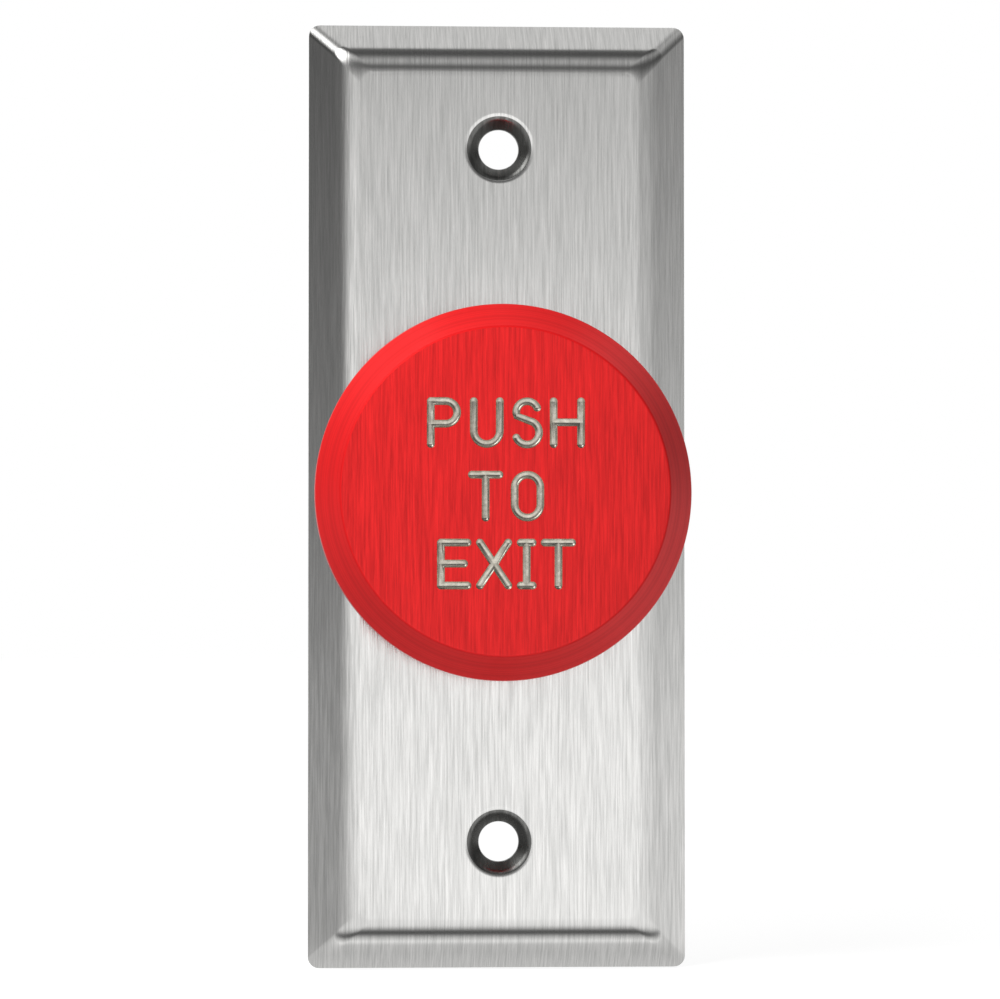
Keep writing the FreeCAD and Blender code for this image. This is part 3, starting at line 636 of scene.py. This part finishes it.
# Smooth bright strip with a few long rolling marks.
lever_strip = surface("rolled_stainless_strip", "#a8a7a2", "#d8d7d2", 1.0, 0.22, 0.05,
                      (0.35, 8.0, 8.0), 0.003)

# Strong plain red, glossier than the case round it.
red_plastic = surface("red_acetal_moulding", "#a5120e", "#c91f19", 0.0, 0.32, 0.06, (0.8, 0.8, 0.8), 0.006)

# Yellow metal, streaked along its length by the rolls.
brass_strip = surface("stamped_brass_strip", "#a97f33", "#dcb765", 1.0, 0.26, 0.07,
                      (0.35, 6.0, 6.0), 0.004)

# Redder than the terminals, with the same streaks.
copper_strip = surface("copper_alloy_strip", "#a86a3d", "#d59a68", 1.0, 0.24, 0.06,
                       (0.35, 6.0, 6.0), 0.003)

# The whitest and brightest of the metals, almost a mirror.
silver = surface("silver_contact_alloy", "#c3c0b8", "#e7e5df", 1.0, 0.2, 0.05, (0.4, 0.4, 0.4), 0.003)


def panel(target, x, depth, material):
    """Shallow moulded panel with rounded corners and two ejector marks in a side face of the switch."""
    low, high = Vector((x - depth, *panel_low)), Vector((x + depth, *panel_high))
    cutter = bmesh.new()
    place = Matrix.Translation((low + high) / 2 * mm) @ Matrix.Diagonal(((high - low) * mm).to_4d())
    bmesh.ops.create_cube(cutter, size=1.0, matrix=place)
    across = [e for e in cutter.edges if abs(e.verts[0].co.x - e.verts[1].co.x) > 1e-5]
    bmesh.ops.bevel(cutter, geom=across, offset=panel_corner * mm, offset_type="OFFSET", segments=6,
                    profile=0.5, affect="EDGES", material=-1)
    carve(target, raw("cutter", cutter, material))
    marks = bmesh.new()
    for y, z in mark_places:
        stand = Matrix.Translation((x * mm, y * mm, z * mm)) @ Matrix.Rotation(math.pi / 2, 4, "Y")
        bmesh.ops.create_cone(marks, cap_ends=True, segments=32, radius1=mark_radius * mm,
                              radius2=mark_radius * mm, depth=2 * mark_depth * mm, matrix=stand)
    carve(target, raw("cutter", marks, material))


mouldings = [("switch_body", "switch_case", case_left), ("switch_lid", "switch_cover", case_right)]
for name, node, side in mouldings:
    moulding = merged(name, node, phenolic)
    panel(moulding, side, panel_depth, phenolic)
    complete(moulding, "base", "black_phenolic", 0.12, node)
dressed("common_tab", "common_terminal", "base", "terminal_brass", brass_strip, 0.1)
dressed("open_tab", "normally_open_terminal", "base", "terminal_brass", brass_strip, 0.1)
dressed("closed_tab", "normally_closed_terminal", "base", "terminal_brass", brass_strip, 0.1)
dressed("spring_blade", "contact_blade", "blade", "blade_copper_alloy", copper_strip, 0.04)

buttons = bmesh.new()
for seat, crown in contact_seats:
    lathe([(0, seat, 0), (contact_radius, seat, 0), (contact_radius, crown, 0.3), (0, crown, 0)], 48,
          centre=(0, contact_line), bm=buttons)
complete(raw("rest_contacts", buttons, silver), "base", "contact_silver", 0, "fixed_contacts")
blade_front = rivet_front + rivet_head
blade_back = rivet_back - rivet_head
rivet = lathe([(0, rivet_front, 0), (contact_radius, rivet_front, 0.3), (contact_radius, blade_front, 0),
               (rivet_shank, blade_front, 0), (rivet_shank, blade_back, 0), (contact_radius, blade_back, 0),
               (contact_radius, rivet_back, 0.3), (0, rivet_back, 0)], 48, centre=(0, contact_line))
complete(raw("rivet_contact", rivet, silver), "blade", "contact_silver", 0, "moving_contact")

dome_start = math.degrees(math.acos(pin_radius / pin_dome))
pin_corners = [(r, y, 0) for r, y in arc(0, pin_tip + pin_dome, pin_dome, -90, -dome_start)]
pin_corners += [(pin_radius, collar_front, 0), (collar_radius, collar_front, 0.15)]
pin_corners += [(collar_radius, collar_back, 0.15), (foot_radius, collar_back, 0.2)]
pin_corners += [(foot_radius, foot_back, 0.4), (0, foot_back, 0)]
switch_plunger = lathe(pin_corners, 48, centre=(0, pin_line))
complete(raw("switch_plunger", switch_plunger, red_plastic), "pin", "red_plastic", 0, "switch_pin")
dressed("hinge_rod", "lever_hinge_pin", "base", "ground_steel", ground_steel, 0.1)
dressed("lever_arm", "switch_lever", "lever", "stainless_spring_strip", lever_strip, 0.1)


# Cross screws: two zinc-plated pan-head screws with cross recesses go through both legs of the bracket
# and the switch, with turned aluminium spacers between, and are held by split washers and nuts.
switch_holes = [(25.2, 21.2), (14.9, -1.0)]
leg_outside = 13.2
screw_radius = 1.42
screw_core = 1.08
screw_pitch = 0.635
screw_end = 17.5
head_radius = 2.8
head_height = 1.7
shank_end = 1.6
recess_length = 3.0
recess_floor_length = 1.1
recess_width = 0.62
recess_floor_width = 0.5
recess_height = 1.6
tube_inside = 1.57
tube_outside = 2.57
leg_inside = 12.0
washer_outside = 2.52
washer_back = 13.9
small_nut_back = 16.3
small_nut_flat = 3.175


def on_both_screws(name, made, material, slot, edge, node):
    """Piece made of two copies of one drawn along Y, laid along X on the lines of the two screws."""
    bm = bmesh.new()
    for y, z in switch_holes:
        before = set(bm.verts)
        bm.from_mesh(made.data)
        lay = Matrix.Translation((0, y * mm, z * mm)) @ Matrix.Rotation(-math.pi / 2, 4, "Z")
        bmesh.ops.transform(bm, matrix=lay, verts=[v for v in bm.verts if v not in before])
    bpy.data.objects.remove(made)
    complete(raw(name, bm, material), "base", slot, edge, node)


# Brighter than the bracket's plating, with finer clouds.
bright_zinc = surface("zinc_plated_fasteners", "#a5acb1", "#d0d3d1", 1.0, 0.26, 0.07,
                      (1.0, 1.0, 1.0), 0.006)

# Pale satin metal ringed finely round each tube.
aluminium = surface("turned_aluminium_tube", "#b3b5b8", "#d3d5d6", 1.0, 0.28, 0.06,
                    (0.25, 8.0, 8.0), 0.004)

head_front = -leg_outside - head_height
screw_corners = [(0, head_front, 0), (head_radius, head_front, 0.9), (head_radius, -leg_outside, 0.15)]
screw_corners += [(screw_radius, -leg_outside, 0), (screw_radius, shank_end, 0)]
screw_corners += [(screw_core, shank_end + 0.4, 0)]
screw_corners += [(screw_core, screw_end, 0.25), (0, screw_end, 0)]
screw = lathe(screw_corners, 48)
cut_thread(screw, screw_radius, screw_radius - screw_core, screw_pitch, shank_end + 0.2, screw_end - 0.1, 32)
screw = raw("screw", screw, bright_zinc)
recess = bmesh.new()
for turn in (0, math.pi / 2):
    place = Matrix.Rotation(turn, 4, "Y") @ Matrix.Translation((0, (head_front + 0.3) * mm, 0))
    blade = bmesh.ops.create_cube(recess, size=1.0)["verts"]
    for vert in blade:
        deep = vert.co.y > 0
        length = recess_floor_length if deep else recess_length
        width = recess_floor_width if deep else recess_width
        vert.co = Vector((vert.co.x * length, vert.co.y * recess_height, vert.co.z * width))
    bmesh.ops.transform(recess, matrix=place @ Matrix.Diagonal((mm, mm, mm, 1)), verts=blade)
carve(screw, raw("cutter", recess, bright_zinc))
on_both_screws("cross_screws", screw, bright_zinc, "zinc_plated_steel", 0, "bracket_screws")

tubes = bmesh.new()
for start, end in ((-leg_inside, case_left), (case_right, leg_inside)):
    lathe([(tube_inside, start, 0.1), (tube_outside, start, 0.15), (tube_outside, end, 0.15),
           (tube_inside, end, 0.1)], 48, closed=True, bm=tubes)
tube_piece = raw("tubes", tubes, aluminium)
on_both_screws("spacer_tubes", tube_piece, aluminium, "plain_aluminium", 0, "switch_spacers")

split_ring = lathe([(tube_inside, leg_outside, 0.08), (washer_outside, leg_outside, 0.08),
                    (washer_outside, washer_back, 0.08), (tube_inside, washer_back, 0.08)],
                   47, closed=True, turn=math.radians(351))
on_both_screws("split_washers", raw("ring", split_ring, spring_steel), spring_steel, "spring_steel", 0,
               "bracket_spring_washers")
small_bore = screw_radius + running_fit
small_nut = hexagon_nut("nut", small_nut_flat, washer_back, small_nut_back, small_bore, bright_zinc)
on_both_screws("hex_nuts", small_nut, bright_zinc, "zinc_plated_steel", 0.05, "bracket_nuts")


# Studio: a white floor that the plate stands on, a white surround, and a camera half a metre away, a
# little to the left and below. What the metal mirrors is dimmer above the horizon and to the left, as
# in a room, and gives brushed steel its tones. A soft key lamp hangs above on the left.
floor_reach = 3.0
foot_shade_reach = 0.06
mirror_strength = 1.12
roof_level = 0.6
back_level = 0.9
window_level = 2.1
window_direction = (-0.66, -0.36, 0.66)
lamp_place = (-0.06, -0.1, 0.095)
lamp_target = (0, -0.02, 0)
lamp_size = 0.06
lamp_energy = 0.24
camera_place = (-0.0269, -0.5089, -0.0132)


def level_ramp(tree, value, low, high, levels):
    """Grey level along a value that runs from low to high, through (share, level) stops."""
    share = add_node(tree, "MapRange", {"From Min": low, "From Max": high}, {"Value": value})
    ramp = add_node(tree, "ValToRGB", {}, {"Fac": share.outputs[0]})
    stops = ramp.color_ramp.elements
    stops[0].color = [levels[0][1]] * 3 + [1]
    stops[-1].color = [levels[-1][1]] * 3 + [1]
    for place, level in levels[1:-1]:
        stops.new(place).color = [level] * 3 + [1]
    return ramp.outputs[0]


# White floor. The camera sees it white with a faint shadow, and the metal sees a glow instead that
# dims far out on both sides. The strip under the plate's foot carries dark bands of painted shade, a painted
# contact shadow that the lower slope mirrors.
floor = bmesh.new()
bmesh.ops.create_grid(floor, x_segments=1, y_segments=1, size=floor_reach)
bmesh.ops.translate(floor, vec=(0, 0, -plate_half_length * mm), verts=floor.verts[:])
white_floor = bpy.data.materials.new("white_floor")
white_floor.use_nodes = True
tree = white_floor.node_tree
tree.nodes.clear()
place = add_node(tree, "TexCoord", {}, {}).outputs["Object"]
place = add_node(tree, "VectorMath", {"operation": "MULTIPLY", 1: (1, 1, 0)},
                 {0: place}).outputs["Vector"]
across = add_node(tree, "VectorMath", {"operation": "NORMALIZE"}, {0: place})
parts = add_node(tree, "SeparateXYZ", {}, {"Vector": across.outputs["Vector"]})
far = level_ramp(tree, parts.outputs["X"], -1.0, 1.0, [(0.0, 0.36), (0.44, 1.0), (0.6, 1.0), (1.0, 0.72)])
away = add_node(tree, "VectorMath", {"operation": "LENGTH"}, {0: place})
# Close to the plate the glow gives way to the bands of painted shade below.
near = level_ramp(tree, away.outputs["Value"], 0.0, foot_shade_reach, [(0.0, 0.0), (0.35, 0.0), (1.0, 1.0)])
ahead = add_node(tree, "SeparateXYZ", {}, {"Vector": place})
# Dark bands just in front of the plate's foot: painted shade standing in for its contact shadow, seen only
# in reflections.
foot = level_ramp(tree, ahead.outputs["Y"], -0.02, 0.0,
                  [(0.0, 0.85), (0.3, 0.8), (0.46, 0.4), (0.53, 0.08), (0.6, 0.08), (0.68, 0.5),
                   (0.76, 0.82), (0.83, 0.58), (0.9, 0.52), (1.0, 0.58)])
glow = add_node(tree, "MixRGB", {}, {"Fac": near, "Color1": foot, "Color2": far})
matt = add_node(tree, "BsdfDiffuse", {"Color": linear("#e6e6e6")}, {})
shadow = add_node(tree, "BsdfDiffuse", {"Color": linear("#838383")}, {})
shown = add_node(tree, "Emission", {"Color": linear("#ffffff"), "Strength": 0.87}, {})
lifted = add_node(tree, "AddShader", {}, {0: shadow.outputs[0], 1: shown.outputs[0]})
mirrored = add_node(tree, "Emission", {"Strength": mirror_strength}, {"Color": glow.outputs[0]})
rays = add_node(tree, "LightPath", {}, {})
for_camera = add_node(tree, "MixShader", {}, {"Fac": rays.outputs["Is Camera Ray"], 1: matt.outputs[0],
                                              2: lifted.outputs[0]})
for_gloss = add_node(tree, "MixShader", {}, {"Fac": rays.outputs["Is Glossy Ray"],
                                             1: for_camera.outputs[0], 2: mirrored.outputs[0]})
add_node(tree, "OutputMaterial", {}, {"Surface": for_gloss.outputs[0]})
floor_piece = raw("studio_floor", floor, white_floor)

# White surround for the camera. For everything else its level falls with height in a few soft bands
# and varies from left to right, which shades the plate's face and its slopes.
world = bpy.data.worlds.new("studio")
bpy.context.scene.world = world
world.use_nodes = True
tree = world.node_tree
tree.nodes.clear()
direction = add_node(tree, "TexCoord", {}, {}).outputs["Generated"]
parts = add_node(tree, "SeparateXYZ", {}, {"Vector": direction})
height = level_ramp(tree, parts.outputs["Z"], 0.0, 1.0,
                    [(0.0, 0.98), (0.045, 0.86), (0.09, 0.63), (0.13, 0.47), (0.2, 0.36), (0.3, 0.22),
                     (0.42, 0.1), (0.52, 0.09), (0.68, 0.36), (0.76, 0.42), (0.84, 0.27), (0.91, 0.08),
                     (0.96, 0.06), (1.0, 0.1)])
sideways = level_ramp(tree, parts.outputs["X"], -1.0, 1.0,
                      [(0.0, 0.22), (0.05, 0.16), (0.2, 1.1), (0.3, 1.15), (0.45, 1.0), (0.6, 0.95),
                       (0.68, 0.6), (0.84, 0.75), (0.95, 0.55), (1.0, 0.5)])
shaded = add_node(tree, "MixRGB", {"blend_type": "MULTIPLY", "Fac": 1.0},
                  {"Color1": height, "Color2": sideways})

# A pale ceiling over and behind the plate lights the back's upper parts, and a bright wall lies behind.
over = add_node(tree, "MapRange", {"From Min": 0.0, "From Max": 0.16}, {"Value": parts.outputs["Y"]})
high = add_node(tree, "MapRange", {"From Min": 0.35, "From Max": 0.7}, {"Value": parts.outputs["Z"]})
ceiling = add_node(tree, "Math", {"operation": "MULTIPLY"}, {0: over.outputs[0], 1: high.outputs[0]})
roofed = add_node(tree, "MixRGB", {"Color2": [roof_level] * 3 + [1]},
                  {"Fac": ceiling.outputs[0], "Color1": shaded.outputs[0]})
behind = add_node(tree, "MapRange", {"From Min": 0.5, "From Max": 0.8}, {"Value": parts.outputs["Y"]})
opened = add_node(tree, "MixRGB", {"Color2": [back_level] * 3 + [1]},
                  {"Fac": behind.outputs[0], "Color1": roofed.outputs[0]})

# A window high on the left gives the knob's chamfer its sheen and the engraving its bright ends.
toward = add_node(tree, "VectorMath", {"operation": "DOT_PRODUCT", 1: window_direction}, {0: direction})
window = add_node(tree, "MapRange", {"From Min": 0.91, "From Max": 0.96},
                  {"Value": toward.outputs["Value"]})
windowed = add_node(tree, "MixRGB", {"Color2": [window_level] * 3 + [1]},
                    {"Fac": window.outputs[0], "Color1": opened.outputs[0]})
lit = add_node(tree, "Background", {"Strength": mirror_strength}, {"Color": windowed.outputs[0]})
seen = add_node(tree, "Background", {"Color": linear("#ffffff"), "Strength": 1.0}, {})
rays = add_node(tree, "LightPath", {}, {})
mixed = add_node(tree, "MixShader", {}, {"Fac": rays.outputs["Is Camera Ray"], 1: lit.outputs[0],
                                         2: seen.outputs[0]})
add_node(tree, "OutputWorld", {}, {"Surface": mixed.outputs[0]})

# The lamp casts the knob's soft shadow. Metal doesn't mirror it, or each bend would show its square.
key = bpy.data.lights.new("key_lamp", "AREA")
key.shape = "SQUARE"
key.size = lamp_size
key.energy = lamp_energy
key_lamp = bpy.data.objects.new("key_lamp", key)
key_lamp.location = lamp_place
key_lamp.rotation_euler = (Vector(lamp_target) - key_lamp.location).to_track_quat("-Z", "Y").to_euler()
key_lamp.visible_glossy = False
key_lamp.visible_camera = False
bpy.context.collection.objects.link(key_lamp)

camera = bpy.data.cameras.new("camera")
camera.lens = 151.22
camera.sensor_width = 36.0
camera.shift_x = 0.0032
camera.shift_y = -0.0039
viewpoint = bpy.data.objects.new("camera", camera)
viewpoint.location = camera_place
viewpoint.rotation_euler = (-viewpoint.location).to_track_quat("-Z", "Y").to_euler()
bpy.context.collection.objects.link(viewpoint)
bpy.context.scene.camera = viewpoint
bpy.context.scene.view_settings.view_transform = "Standard"

low, high = cad_box
